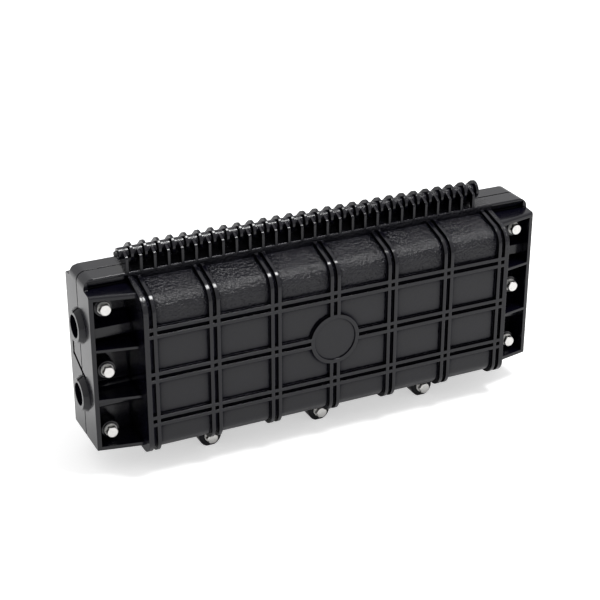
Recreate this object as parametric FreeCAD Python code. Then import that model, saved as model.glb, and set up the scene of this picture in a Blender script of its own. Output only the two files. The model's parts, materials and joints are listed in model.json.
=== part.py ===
import FreeCAD, Part
import math
import os
from FreeCAD import Vector

# Frame: X runs along the closure, the parting plane of the two shells is y = 0,
# the front shell is on the -Y side, Z is up and z = 0 is the floor under the lugs.
# All sizes are millimetres.

# Overall
closure_length = 460.0        # end face to end face, port collars not counted
end_block_length = 41.7       # end face to the ribbed body

# Ribbed body of each shell
panel_depth = 53.5            # parting plane to the bare panel
body_bottom = 26.5
shoulder_height = 186.0       # where the sloping shoulder meets the flange
shoulder_slope = 16.0         # degrees
shoulder_radius = 15.0
keel_radius = 12.0
wall = 3.5
body_end_wall = 12.5          # thick enough for the seal seats

# Lattice of double ribs
rib_height = 3.3
rib_width = 3.3
rib_gap = 3.9
end_rib_width = 4.6
bay_count = 6
course_height = 103.6         # middle horizontal rib
course_pitch = 44.3
course_count = 3

# Bare round disc on the front panel
disc_radius = 25.0
disc_rim = 3.6
disc_recess = 1.2

# Top and bottom flanges
flange_depth = 20.0
flange_top = 194.0
flange_corner = 9.0
flange_edge = 1.2
keel_flange_bottom = 18.5
relief_width = 0.9            # groove along the parting line
relief_depth = 1.0

# End blocks with their pockets
block_bottom = 28.0
block_shoulder = 183.8        # top of the block at the flange
block_top = 182.8             # top of the block at its front edge
block_depth = 32.5            # at the end face
block_blend = 0.5             # hollow blend into the flange
block_lip = 2.5               # round of the front top edge
block_roof = 4.5
gusset_depth = 41.5           # where the pocket walls run into the body
scoop_depth = 4.0             # undercut below the flange at each end
scoop_brow = 2.5              # flange edge left above the undercut
block_end_wall = 4.0
block_floor = 8.0
block_wall = 3.5
web_thickness = 2.5
web_spacing = 50.0

# Cable ports
port_middle = 107.0
port_spacing = 69.4
port_radius = 11.0
port_tube_radius = 16.0
port_ridge_width = 9.6        # flat crest over each port tube
port_ridge_base = 24.0
collar_radius = 17.5
collar_tip_radius = 14.5
collar_length = 5.0
collar_notch = 2.2
seal_radius = 15.0            # seat of the port seal
seal_lip = 2.0                # wall left inside the seat
seal_length = 8.6
seal_gap = 0.3
seal_end_gap = 0.1
cable_radius = 8.0            # bore of the port seal

# Seam groove across each end face
seam_width = 4.6
seam_depth = 2.4
seam_rise = 10.0
seam_reach = 22.0
seam_front = 7.0
seam_drop = 12.0

# Bolts, washers and inserts
bolt_inset = 16.2             # end face to the end bolts
bolt_middle = 104.0
bolt_spacing = 62.0
bolt_seat = 22.8              # parting plane to the washer seat
boss_radius = 8.5
lug_spacing = 115.4
lug_bolt_height = 10.6
lug_radius = 11.2
bolt_radius = 2.45
bolt_hole_gap = 0.85
bolt_reach = 6.0              # past the parting plane
bolt_point = 4.0              # length of the pilot point
bolt_point_radius = 1.3
hex_flats = 10.0
hex_height = 4.0
hex_crown_radius = 4.8        # round of the head's chamfered face
flat_washer_radius = 6.0
flat_washer_thickness = 1.6
spring_washer_radius = 5.4
spring_washer_thickness = 1.5
spring_washer_split = 1.4
washer_gap = 0.25
insert_radius = 4.5
insert_length = 12.0
insert_recess = 0.5
insert_gap = 0.05
insert_bore_gap = 0.7

# Seal strips in the parting face of the rear shell
strip_width = 4.0
strip_depth = 3.0
strip_gap = 0.1
strip_inset = 6.0             # flange edge to the middle of the strip
strip_corner = 8.0

# Hinge comb
comb_pitch = 13.2
comb_margin = 6.0
hinge_offset = 7.4            # pin in front of the parting plane
hinge_rise = 14.0             # pin above the flange
pin_radius = 2.7
pin_overhang = 5.0
pin_tail = 1.5
pin_tip_round = 1.4
pin_gap = 0.05
pin_press = 0.01
barrel_radius = 5.5
claw_thickness = 2.6
claw_shoulder = 13.8          # height of the claw's bend
claw_bend_radius = 3.2
claw_foot = 3.2
claw_heel = 7.5
claw_waist = 7.0
hinge_disc_radius = 8.8
hinge_disc_thickness = 2.6
hinge_side_gap = 0.5
disc_foot_gap = 1.0
disc_foot_length = 16.0
disc_foot_height = 4.0
disc_tangent = 50.0           # degrees above the level
hinge_web_height = 10.5       # wall that ties the discs together
hinge_web_thickness = 3.0

# Tray bracket inside the rear shell
bracket_boss_height = 12.0
bracket_boss_radius = 5.0
bracket_thickness = 1.5
bracket_margin = 16.0         # cavity ends to the bracket
bracket_bottom = 50.0
bracket_height = 115.0
bracket_corner = 8.0
bracket_hole_inset = 20.0
bracket_hole_edge = 9.0
window_length = 60.0
window_height = 62.0
window_pitch = 76.0
screw_radius = 2.0
screw_head_radius = 3.6
screw_head_height = 2.4
screw_head_round = 0.8
screw_gap = 0.05
screw_length = 9.0

# Splice trays on their posts
tray_count = 2
tray_height = 10.0
tray_floor = 1.6
tray_rim = 1.6
tray_bottom = 52.0
tray_width = 111.0
tray_corner = 14.0
tray_gap = 4.0                # strength clamps to the trays
tray_entry = 14.0
mandrel_radius = 24.0
mandrel_height = 7.0
mandrel_inset = 34.0
post_radius = 2.5
post_gap = 0.1
post_inset = 12.0
post_head_radius = 4.2
post_head_height = 3.0
post_sleeve_radius = 5.0
post_end = 8.5
cover_thickness = 1.5
nut_radius = 4.2
nut_height = 6.0
wing_span = 18.0
wing_thickness = 1.8
wing_height = 5.0

# Splice holders
holder_length = 38.0
holder_width = 26.0
holder_height = 6.0
holder_pitch = 56.0
holder_slots = 6
holder_slot_width = 2.2
holder_slot_depth = 4.2

# Cable saddles and strength member clamps
saddle_inset = 21.0           # cavity end to the saddle
saddle_length = 14.0
saddle_width = 26.0
saddle_sheet = 2.0
saddle_top = 2.0
saddle_cradle_gap = 1.0
clamp_step = 27.0             # saddle to the clamp
clamp_length = 16.0
clamp_width = 14.0
clamp_height = 12.0
clamp_bore = 2.2
clamp_screw_radius = 2.0
clamp_screw_head_radius = 3.4
clamp_screw_head_height = 3.0
clamp_slot_width = 1.0
clamp_slot_depth = 1.5

# Worked out from the driving dimensions
half_length = closure_length / 2
body_half = half_length - end_block_length
cavity_half = body_half - body_end_wall
rib_pitch = 2 * (body_half - end_rib_width - rib_gap / 2) / bay_count
roof_fall = (block_shoulder - block_top) / (block_depth - flange_depth)
bolt_hole_radius = bolt_radius + bolt_hole_gap
bolt_x = half_length - bolt_inset
hinge_y = -hinge_offset
hinge_z = flange_top + hinge_rise
claw_count = int((2 * body_half - comb_margin) / comb_pitch)
claw_start = -body_half
barrel_length = comb_pitch - hinge_disc_thickness - 2 * hinge_side_gap
inner_back = panel_depth - wall
bracket_back = inner_back - bracket_boss_height
bracket_front = bracket_back - bracket_thickness
bracket_half = cavity_half - bracket_margin
bracket_middle = bracket_bottom + bracket_height / 2
saddle_x = cavity_half - saddle_inset
clamp_x = saddle_x - clamp_step
tray_half = clamp_x - clamp_length / 2 - tray_gap
tray_middle = tray_bottom + tray_width / 2
post_x = tray_half - post_inset
stack_front = bracket_front - tray_count * tray_height
cover_front = stack_front - cover_thickness
ends = (-1, 1)
port_heights = (port_middle + port_spacing / 2, port_middle - port_spacing / 2)
port_names = ("upper", "lower")
end_names = ("left", "right")


def box(low, high):
    """Block between two corners."""
    corner = Vector(*(min(a, b) for a, b in zip(low, high)))
    size = [abs(b - a) for a, b in zip(low, high)]
    return Part.makeBox(*size, corner)


def rod(radius, start, end):
    """Cylinder from one point to another."""
    axis = Vector(*end) - Vector(*start)
    return Part.makeCylinder(radius, axis.Length, Vector(*start), axis)


def outline(corners, place):
    """Face inside corners given as (u, v, radius), each corner rounded by its radius."""
    points = [Vector(u, v, 0) for u, v, _ in corners]
    starts = []
    ends_ = []
    middles = []
    for i, (_, _, radius) in enumerate(corners):
        here = points[i]
        before = (points[i - 1] - here).normalize()
        after = (points[(i + 1) % len(points)] - here).normalize()
        half_angle = before.getAngle(after) / 2
        setback = radius / math.tan(half_angle) if radius else 0
        bisector = (before + after).normalize() if radius else Vector()
        starts.append(here + before * setback)
        ends_.append(here + after * setback)
        middles.append(here + bisector * (radius / math.sin(half_angle) - radius) if radius else here)
    edges = []
    for i, (_, _, radius) in enumerate(corners):
        if radius:
            edges.append(Part.Arc(*(place(p) for p in (starts[i], middles[i], ends_[i]))).toShape())
        following = starts[(i + 1) % len(corners)]
        if (following - ends_[i]).Length > 1e-6:
            edges.append(Part.LineSegment(place(ends_[i]), place(following)).toShape())
    return Part.Face(Part.Wire(edges))


def in_section(p):
    """Places an outline in the cross section, u as y and v as z."""
    return Vector(0, p.x, p.y)


def in_elevation(p):
    """Places an outline in the front view, u as x and v as z."""
    return Vector(p.x, 0, p.y)


def in_plan(p):
    """Places an outline in the top view, u as x and v as y."""
    return Vector(p.x, p.y, 0)


def slab(face, start, end, axis):
    """Extrudes a face from one level to another along an axis."""
    moved = face.copy()
    moved.translate(axis * start)
    return moved.extrude(axis * (end - start))


def joined(solids):
    """One clean solid from several that overlap."""
    return solids[0].multiFuse(solids[1:]).removeSplitter()


def mirrored(shape):
    """The same form on the other side of the parting plane."""
    return shape.mirror(Vector(0, 0, 0), Vector(0, 1, 0))


along_x = Vector(1, 0, 0)
along_y = Vector(0, 1, 0)
along_z = Vector(0, 0, 1)


def body_section(grow):
    """Half section of the body, grown outwards from the bare panel by a thickness."""
    slope = math.radians(shoulder_slope)
    lift = grow / math.cos(slope)
    depth = panel_depth + grow
    top = shoulder_height + lift
    front_top = top - math.tan(slope) * (depth - flange_depth)
    return outline([
        (0, body_bottom - grow, 0),
        (0, top, 0),
        (-flange_depth, top, 0),
        (-depth, front_top, shoulder_radius + grow),
        (-depth, body_bottom - grow, keel_radius + grow),
    ], in_section)


def rib_bands():
    """Start and end along X of every vertical rib."""
    bands = []
    for i in range(bay_count + 1):
        middle = (i - bay_count / 2) * rib_pitch
        left = end_rib_width if i == 0 else rib_width
        right = end_rib_width if i == bay_count else rib_width
        bands.append((middle - rib_gap / 2 - left, middle - rib_gap / 2))
        bands.append((middle + rib_gap / 2, middle + rib_gap / 2 + right))
    return bands


def lattice():
    """Vertical ribs that follow the section and horizontal ribs on the panel."""
    section = body_section(rib_height)
    ribs = [slab(section, start, end, along_x) for start, end in rib_bands()]
    root = -panel_depth + wall / 2
    crest = -panel_depth - rib_height
    for i in range(course_count):
        middle = course_height + (i - (course_count - 1) / 2) * course_pitch
        for side in ends:
            near = middle + side * rib_gap / 2
            far = near + side * rib_width
            ribs.append(box((-body_half, root, near), (body_half, crest, far)))
    return ribs


def front_disc():
    """Raised bare disc in the middle of the panel."""
    root = -panel_depth + wall / 2
    return rod(disc_radius, (0, root, course_height), (0, -panel_depth - rib_height, course_height))


def disc_dish():
    """Shallow dish cut into the disc."""
    crest = -panel_depth - rib_height
    return rod(disc_radius - disc_rim, (0, crest + disc_recess, course_height), (0, crest - 1, course_height))


def top_flange():
    """Flange bar along the top, its upper corners and front edge rounded."""
    low = block_shoulder - wall
    bar = slab(outline([
        (-half_length, low, 0),
        (half_length, low, 0),
        (half_length, flange_top, flange_corner),
        (-half_length, flange_top, flange_corner),
    ], in_elevation), 0, -flange_depth, along_y)
    rim = []
    for edge in bar.Edges:
        bounds = edge.BoundBox
        on_front = abs(bounds.YMax + flange_depth) < 1e-6
        if on_front and bounds.ZMax > low + 1e-6 and edge.Length > 2 * flange_edge:
            rim.append(edge)
    return bar.makeFillet(flange_edge, [e for e in rim if e.BoundBox.ZMin > low + 1e-6])


def keel_flange():
    """Flange under the body."""
    top = body_bottom + wall
    return box((-body_half, 0, keel_flange_bottom), (body_half, -flange_depth, top))


def lug(x):
    """Half-round bolt lug under the keel flange, flat where it stands."""
    ear = rod(lug_radius, (x, 0, lug_bolt_height), (x, -bolt_seat, lug_bolt_height))
    neck = box((x - lug_radius, 0, lug_bolt_height), (x + lug_radius, -bolt_seat, body_bottom + wall))
    below = box((x - 2 * lug_radius, 1, -lug_radius), (x + 2 * lug_radius, -bolt_seat - 1, 0))
    return ear.fuse(neck).cut(below)


def block_form(side):
    """Outer form of an end block: a section that blends into the flange, trimmed from above and in front."""
    outer = side * half_length
    inner = side * (body_half - wall)
    section = outline([
        (0, block_bottom, 0),
        (-gusset_depth, block_bottom, 0),
        (-gusset_depth, block_shoulder - roof_fall * (gusset_depth - flange_depth), 0),
        (-flange_depth, block_shoulder, block_blend),
        (-flange_depth, flange_top - flange_edge, 0),
        (0, flange_top - flange_edge, 0),
    ], in_section)
    front_view = outline([
        (-half_length, block_bottom, 0),
        (half_length, block_bottom, 0),
        (half_length, flange_top, flange_corner),
        (-half_length, flange_top, flange_corner),
    ], in_elevation)
    form = slab(section, inner, outer, along_x)
    form = form.common(slab(front_view, 0, -gusset_depth, along_y))
    form = form.common(slab(gusset_plan(side), block_bottom, flange_top, along_z)).removeSplitter()
    lip = []
    for edge in form.Edges:
        middle = edge.CenterOfMass
        roof = block_shoulder + roof_fall * (middle.y + flange_depth)
        between = body_half < abs(middle.x) < half_length - block_lip
        if between and middle.y < -flange_depth - block_blend and abs(middle.z - roof) < 1e-4:
            lip.append(edge)
    return form.makeFillet(block_lip, lip)


def gusset_plan(side):
    """Outline of a pocket wall from above, shallower at the end face than at the body."""
    outer = side * half_length
    inner = side * (body_half - wall)
    return outline([
        (outer, 0, 0),
        (outer, -block_depth, 0),
        (inner, -gusset_depth, 0),
        (inner, 0, 0),
    ], in_plan)


def block_pocket(side):
    """Space inside an end block, open to the front."""
    mouth = gusset_depth + wall
    top = block_shoulder - block_roof
    section = outline([
        (-block_floor, block_bottom + block_wall, 0),
        (-mouth, block_bottom + block_wall, 0),
        (-mouth, top - roof_fall * (mouth - flange_depth), 0),
        (-flange_depth, top, 0),
        (-block_floor, top, 0),
    ], in_section)
    return slab(section, side * body_half, side * (half_length - block_end_wall), along_x)


def end_scoop(side):
    """Undercut between the flange and the roof of an end block, open to the front."""
    near = -flange_depth - block_blend
    far = -flange_depth + scoop_depth
    brow = flange_top - scoop_brow
    section = outline([
        (near, block_shoulder - roof_fall * block_blend, 0),
        (far, block_shoulder + roof_fall * scoop_depth, 0),
        (-flange_depth, brow, 0),
        (near, brow, 0),
    ], in_section)
    return slab(section, side * body_half, side * (half_length - block_end_wall), along_x)


def port_ridge(side, height):
    """Flat-crested ridge over a port tube, as deep as the bolt bosses."""
    section = outline([
        (-block_floor, height - port_ridge_base / 2, 0),
        (-bolt_seat, height - port_ridge_width / 2, 0),
        (-bolt_seat, height + port_ridge_width / 2, 0),
        (-block_floor, height + port_ridge_base / 2, 0),
        (0, height, 0),
    ], in_section)
    return slab(section, side * (body_half - wall), side * (half_length - block_end_wall / 2), along_x)


def end_block(side):
    """Open-fronted pocket at one end with its webs, port tubes and bolt bosses."""
    outer = side * half_length
    inner = side * (body_half - wall)
    tip = outer + side * collar_length
    solids = [block_form(side).cut(block_pocket(side))]
    for lift in ends:
        level = bolt_middle + lift * web_spacing / 2
        solids.append(slab(gusset_plan(side), level - web_thickness / 2, level + web_thickness / 2, along_z))
    for height in port_heights:
        tube = rod(port_tube_radius, (inner, 0, height), (outer, 0, height))
        collar = Part.makeCone(collar_radius, collar_tip_radius, collar_length,
                               Vector(outer, 0, height), along_x * side)
        reach = 2 * collar_radius
        keep = box((inner, 0, height - reach), (tip, -reach, height + reach))
        solids.append(tube.fuse(collar).common(keep))
        solids.append(port_ridge(side, height))
    for height in bolt_heights():
        solids.append(rod(boss_radius, (side * bolt_x, 0, height), (side * bolt_x, -bolt_seat, height)))
    return solids


def bolt_heights():
    """Heights of the end bolts."""
    return [bolt_middle + i * bolt_spacing for i in (-1, 0, 1)]


def bolt_places():
    """(x, z) of every cover bolt, end blocks first and lugs after them."""
    places = [(side * bolt_x, height) for side in ends for height in bolt_heights()]
    places += [(i * lug_spacing, lug_bolt_height) for i in (-1, 0, 1)]
    return places


def port_cuts():
    """Cable ways through both ends, with a wider seat for each port seal."""
    cuts = []
    for side in ends:
        for height in port_heights:
            start = (side * (cavity_half - 1), 0, height)
            end = (side * (half_length + collar_length + 1), 0, height)
            cuts.append(rod(port_radius, start, end))
            seat = side * (cavity_half + seal_lip)
            cuts.append(rod(seal_radius, (seat, 0, height), (seat + side * seal_length, 0, height)))
    return cuts


def collar_notches():
    """Small notch in the top of each collar at the parting plane."""
    cuts = []
    for side in ends:
        for height in port_heights:
            outer = side * half_length
            cuts.append(box((outer, collar_notch / 2, height + collar_tip_radius - collar_notch / 2),
                            (outer + side * collar_length, -collar_notch / 2, height + collar_radius + 1)))
    return cuts


def seam_cuts():
    """Seam groove that crosses the end face between its two ports."""
    cuts = []
    high = port_middle + seam_rise / 2 + collar_notch
    low = high - seam_rise
    for side in ends:
        outer = side * half_length
        inner = outer - side * seam_depth
        rear = -side * seam_reach
        front = side * seam_front
        line = [(rear, high), (rear, low), (front, low - seam_drop)]
        for (y0, z0), (y1, z1) in zip(line, line[1:]):
            run = Vector(0, y1 - y0, z1 - z0)
            bar = Part.makeBox(2 * seam_depth, run.Length + seam_width, seam_width,
                               Vector(-seam_depth, -seam_width / 2, -seam_width / 2))
            bar.rotate(Vector(), along_x, math.degrees(math.atan2(run.z, run.y)))
            bar.translate(Vector(inner + side * seam_depth, y0, z0))
            cuts.append(bar)
    return cuts


def parting_relief():
    """Fine groove along the parting line, over the top and down both end faces."""
    edge = outline([
        (-half_length, block_bottom, 0),
        (half_length, block_bottom, 0),
        (half_length, flange_top, 0),
        (-half_length, flange_top, 0),
    ], in_elevation)
    inset = outline([
        (relief_depth - half_length, block_bottom, 0),
        (half_length - relief_depth, block_bottom, 0),
        (half_length - relief_depth, flange_top - relief_depth, flange_corner - relief_depth),
        (relief_depth - half_length, flange_top - relief_depth, flange_corner - relief_depth),
    ], in_elevation)
    groove = slab(edge.cut(inset), 0, -relief_width, along_y)
    keep = [rod(collar_radius, (-half_length - 1, 0, z), (half_length + 1, 0, z)) for z in port_heights]
    return groove.cut(keep)


def half_shell():
    """Form common to both shells, drawn on the front side."""
    body = slab(body_section(0), -body_half, body_half, along_x)
    solids = [body] + lattice() + [front_disc(), top_flange(), keel_flange()]
    for i in (-1, 0, 1):
        solids.append(lug(i * lug_spacing))
    for side in ends:
        solids += end_block(side)
    cavity = slab(body_section(-wall), -cavity_half, cavity_half, along_x)
    cuts = [cavity, disc_dish(), parting_relief()] + port_cuts() + collar_notches()
    cuts += [end_scoop(side) for side in ends]
    return joined(solids).cut(cuts)


def claw(x):
    """Front hinge claw: a leg from the flange edge that bends back into a barrel round the pin."""
    crest = flange_top + hinge_rise + barrel_radius
    face = outline([
        (-flange_depth, flange_top - flange_edge, 0),
        (-flange_depth + claw_foot, flange_top - flange_edge, 0),
        (-flange_depth + claw_heel, flange_top + claw_waist, 0),
        (hinge_y, hinge_z, 0),
        (hinge_y, crest, 0),
        (-flange_depth, flange_top + claw_shoulder, claw_bend_radius),
    ], in_section)
    plate = slab(face, x - claw_thickness / 2, x + claw_thickness / 2, along_x)
    barrel = rod(barrel_radius, (x - barrel_length / 2, hinge_y, hinge_z),
                 (x + barrel_length / 2, hinge_y, hinge_z))
    return plate.fuse(barrel).removeSplitter().cut(pin_hole(x, pin_gap))


def hinge_disc(x):
    """Rear hinge disc round the pin, with a foot on the rear flange."""
    angle = math.radians(disc_tangent)
    face = outline([
        (disc_foot_gap, flange_top - flange_edge, 0),
        (disc_foot_gap + disc_foot_length, flange_top - flange_edge, 0),
        (disc_foot_gap + disc_foot_length, flange_top + disc_foot_height, 0),
        (hinge_y + hinge_disc_radius * math.cos(angle), hinge_z + hinge_disc_radius * math.sin(angle), 0),
        (hinge_y, hinge_z, 0),
    ], in_section)
    start = x - hinge_disc_thickness / 2
    end = x + hinge_disc_thickness / 2
    disc = rod(hinge_disc_radius, (start, hinge_y, hinge_z), (end, hinge_y, hinge_z))
    return slab(face, start, end, along_x).fuse(disc).removeSplitter().cut(pin_hole(x, pin_press))


def hinge_web():
    """Wall along the rear flange that ties the hinge discs together."""
    first = claw_start + comb_pitch / 2
    last = first + (claw_count - 1) * comb_pitch
    return box((first, disc_foot_gap, flange_top - flange_edge),
               (last, disc_foot_gap + hinge_web_thickness, flange_top + hinge_web_height))


def pin_hole(x, gap):
    """Hole for the hinge pin through one claw or disc."""
    return rod(pin_radius + gap, (x - comb_pitch, hinge_y, hinge_z), (x + comb_pitch, hinge_y, hinge_z))


def front_shell():
    """Front half of the case with the hinge claws and clear bolt holes."""
    claws = [claw(claw_start + i * comb_pitch) for i in range(claw_count)]
    holes = [rod(bolt_hole_radius, (x, 1, z), (x, -bolt_seat - 1, z)) for x, z in bolt_places()]
    return half_shell().cut(holes + seam_cuts()).multiFuse(claws).Solids[0]


def strip_ring(gap):
    """Closed seal ring in the parting face, wider than the strip by a gap on each side."""
    high = flange_top - strip_inset
    low = keel_flange_bottom + strip_inset
    far = body_half - strip_inset
    half = strip_width / 2 + gap
    rings = []
    for grow in (half, -half):
        rings.append(outline([
            (-far - grow, low - grow, strip_corner + grow),
            (far + grow, low - grow, strip_corner + grow),
            (far + grow, high + grow, strip_corner + grow),
            (-far - grow, high + grow, strip_corner + grow),
        ], in_elevation))
    return slab(rings[0].cut(rings[1]), 0, strip_depth, along_y)


def bracket_holes():
    """(x, z) of the screws that hold the tray bracket."""
    x = bracket_half - bracket_hole_inset
    z = bracket_height / 2 - bracket_hole_edge
    return [(i * x, bracket_middle + j * z) for i in ends for j in ends]


def rear_shell():
    """Rear half of the case with the hinge discs, insert holes, seal groove and bracket bosses."""
    discs = [hinge_disc(claw_start + (i + 0.5) * comb_pitch) for i in range(claw_count)]
    bosses = []
    holes = [strip_ring(strip_gap)]
    for x, z in bracket_holes():
        bosses.append(rod(bracket_boss_radius, (x, bracket_back, z), (x, inner_back + wall / 2, z)))
        holes.append(rod(screw_radius + screw_gap, (x, bracket_back - 1, z),
                         (x, bracket_front + screw_length, z)))
    for x, z in bolt_places():
        depth = insert_recess + insert_length
        holes.append(rod(insert_radius + insert_gap, (x, -1, z), (x, depth, z)))
    shell = mirrored(half_shell()).multiFuse(bosses).cut(holes + seam_cuts())
    return shell.multiFuse(discs + [hinge_web()]).Solids[0]


def hinge_pin():
    """Round pin through the whole comb, its free left end rounded."""
    left = claw_start - barrel_length / 2 - pin_overhang + hinge_side_gap + claw_thickness / 2
    right = claw_start + (claw_count - 0.5) * comb_pitch + hinge_disc_thickness / 2 + pin_tail
    pin = rod(pin_radius, (left, hinge_y, hinge_z), (right, hinge_y, hinge_z))
    tip = [edge for edge in pin.Edges if abs(edge.BoundBox.XMax - left) < 1e-6]
    return pin.makeFillet(pin_tip_round, tip)


def seal_strips():
    """Seal ring cut by the port seals into an upper, a lower and two end strips."""
    ring = strip_ring(0)
    gaps = []
    for height in port_heights:
        start = (-half_length, 0, height)
        gaps.append(rod(seal_radius + strip_gap, start, (half_length, 0, height)))
    pieces = ring.cut(gaps).Solids
    upper = max(pieces, key=lambda s: s.BoundBox.ZMax)
    lower = min(pieces, key=lambda s: s.BoundBox.ZMin)
    left = min((s for s in pieces if s.BoundBox.XLength < half_length), key=lambda s: s.BoundBox.XMin)
    right = max((s for s in pieces if s.BoundBox.XLength < half_length), key=lambda s: s.BoundBox.XMax)
    return {"upper": upper, "lower": lower, "left": left, "right": right}


def port_seal(side, height):
    """Rubber ring that seals a cable in its port."""
    start = side * (cavity_half + seal_lip + seal_end_gap)
    end = side * (cavity_half + seal_lip + seal_length - seal_end_gap)
    ring = rod(seal_radius - seal_gap, (start, 0, height), (end, 0, height))
    return ring.cut(rod(cable_radius, (start, 0, height), (end, 0, height)))


def hexagon(flats, start, end, x, z):
    """Hexagonal prism along Y, given across its flats."""
    radius = flats / math.sqrt(3)
    corners = [(x + radius * math.cos(math.radians(60 * i)), z + radius * math.sin(math.radians(60 * i)), 0)
               for i in range(6)]
    return slab(outline(corners, in_elevation), start, end, along_y)


def cover_bolt(x, z):
    """Hex bolt with a pilot point that reaches past the parting plane."""
    under_head = -bolt_seat - flat_washer_thickness - spring_washer_thickness
    head = hexagon(hex_flats, under_head - hex_height, under_head, x, z)
    crown = Part.makeCone(hex_crown_radius, hex_crown_radius + hex_height, hex_height,
                          Vector(x, under_head - hex_height, z), along_y)
    shank = rod(bolt_radius, (x, under_head, z), (x, bolt_reach - bolt_point, z))
    point = Part.makeCone(bolt_radius, bolt_point_radius, bolt_point,
                          Vector(x, bolt_reach - bolt_point, z), along_y)
    return head.common(crown).fuse(shank).fuse(point).removeSplitter()


def flat_washer(x, z):
    """Plain washer on the boss."""
    start = (x, -bolt_seat, z)
    end = (x, -bolt_seat - flat_washer_thickness, z)
    return rod(flat_washer_radius, start, end).cut(rod(bolt_radius + washer_gap, start, end))


def spring_washer(x, z):
    """Split washer under the bolt head."""
    level = -bolt_seat - flat_washer_thickness
    start = (x, level, z)
    end = (x, level - spring_washer_thickness, z)
    ring = rod(spring_washer_radius, start, end).cut(rod(bolt_radius + washer_gap, start, end))
    half_split = spring_washer_split / 2
    split = box((x, level + 1, z - half_split),
                (x + 2 * spring_washer_radius, level - spring_washer_thickness - 1, z + half_split))
    return ring.cut(split)


def thread_insert(x, z):
    """Metal insert in the rear shell that takes the bolt."""
    start = (x, insert_recess, z)
    end = (x, insert_recess + insert_length, z)
    return rod(insert_radius, start, end).cut(rod(bolt_radius + insert_bore_gap, start, end))


def grouped(make):
    """One solid at every cover bolt."""
    return Part.makeCompound([make(x, z) for x, z in bolt_places()])


def plate_outline(half, low, height, corner):
    """Rounded rectangle in the front view."""
    return outline([
        (-half, low, corner),
        (half, low, corner),
        (half, low + height, corner),
        (-half, low + height, corner),
    ], in_elevation)


def post_places():
    """(x, z) of the two tray posts."""
    return [(side * post_x, tray_middle) for side in ends]


def clamp_places():
    """(side, x of saddle, x of clamp, z) at every port."""
    return [(side, side * saddle_x, side * clamp_x, height) for side in ends for height in port_heights]


def tray_bracket():
    """Sheet bracket on the rear bosses, with windows and screw holes."""
    plate = slab(plate_outline(bracket_half, bracket_bottom, bracket_height, bracket_corner),
                 bracket_front, bracket_back, along_y)
    cuts = []
    for i in (-1, 0, 1):
        low = bracket_middle - window_height / 2
        window = plate_outline(window_length / 2, low, window_height, bracket_corner)
        window.translate(along_x * (i * window_pitch))
        cuts.append(slab(window, bracket_front - 1, bracket_back + 1, along_y))
    spots = [(x, z, screw_radius + screw_gap) for x, z in bracket_holes()]
    spots += [(x, z, post_radius + post_gap) for x, z in post_places()]
    for side, x_saddle, x_clamp, z in clamp_places():
        spots.append((x_saddle, z, screw_radius + screw_gap))
    for x, z, radius in spots:
        cuts.append(rod(radius, (x, bracket_front - 1, z), (x, bracket_back + 1, z)))
    return plate.cut(cuts)


def pan_screw(x, z, seat, length):
    """Pan-head screw along +Y with its head on a seat facing the front."""
    head = rod(screw_head_radius, (x, seat - screw_head_height, z), (x, seat, z))
    rim = [edge for edge in head.Edges if abs(edge.BoundBox.YMax - (seat - screw_head_height)) < 1e-6]
    shank = rod(screw_radius, (x, seat, z), (x, seat + length, z))
    return head.makeFillet(screw_head_round, rim).fuse(shank).removeSplitter()


def bracket_screws():
    """Four screws that hold the bracket on its bosses."""
    return Part.makeCompound([pan_screw(x, z, bracket_front, screw_length) for x, z in bracket_holes()])


def tray_posts():
    """Two headed posts that carry the trays."""
    posts = []
    for x, z in post_places():
        head = rod(post_head_radius, (x, bracket_back + post_head_height, z), (x, bracket_back, z))
        shank = rod(post_radius, (x, bracket_back, z), (x, cover_front - post_end, z))
        posts.append(head.fuse(shank).removeSplitter())
    return Part.makeCompound(posts)


def wing_nuts():
    """Two wing nuts on the posts that hold the stack."""
    nuts = []
    for x, z in post_places():
        hub = rod(nut_radius, (x, cover_front, z), (x, cover_front - nut_height, z))
        wings = box((x - wing_thickness / 2, cover_front - nut_height, z - wing_span / 2),
                    (x + wing_thickness / 2, cover_front - nut_height + wing_height, z + wing_span / 2))
        bore = rod(post_radius + post_gap, (x, cover_front + 1, z), (x, cover_front - nut_height - 1, z))
        nuts.append(hub.fuse(wings).cut(bore))
    return Part.makeCompound(nuts)


def splice_tray(back):
    """Shallow tray with a rim, two fibre mandrels, post sleeves and an entry at each corner."""
    front = back - tray_height
    outer = plate_outline(tray_half, tray_bottom, tray_width, tray_corner)
    inner = plate_outline(tray_half - tray_rim, tray_bottom + tray_rim, tray_width - 2 * tray_rim,
                          tray_corner - tray_rim)
    tray = slab(outer, back, front, along_y).cut(slab(inner, back - tray_floor, front, along_y))
    solids = [tray]
    for side in ends:
        x = side * (tray_half - mandrel_inset)
        start = (x, back - tray_floor / 2, tray_middle)
        end = (x, back - tray_floor - mandrel_height, tray_middle)
        ring = rod(mandrel_radius, start, end).cut(rod(mandrel_radius - tray_rim, start, end))
        away = box((x, back + 1, tray_middle - 2 * mandrel_radius),
                   (x - side * 2 * mandrel_radius, front - 1, tray_middle + 2 * mandrel_radius))
        solids.append(ring.cut(away))
    for x, z in post_places():
        solids.append(rod(post_sleeve_radius, (x, back, z), (x, front, z)))
    cuts = [rod(post_radius + post_gap, (x, back + 1, z), (x, front - 1, z)) for x, z in post_places()]
    for side in ends:
        for lift in ends:
            z = tray_middle + lift * (tray_width / 2 - tray_corner - tray_entry / 2)
            cuts.append(box((side * (tray_half - tray_corner / 2), back - 2 * tray_floor, z - tray_entry / 2),
                            (side * (tray_half + 1), front - 1, z + tray_entry / 2)))
    return joined(solids).cut(cuts)


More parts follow.
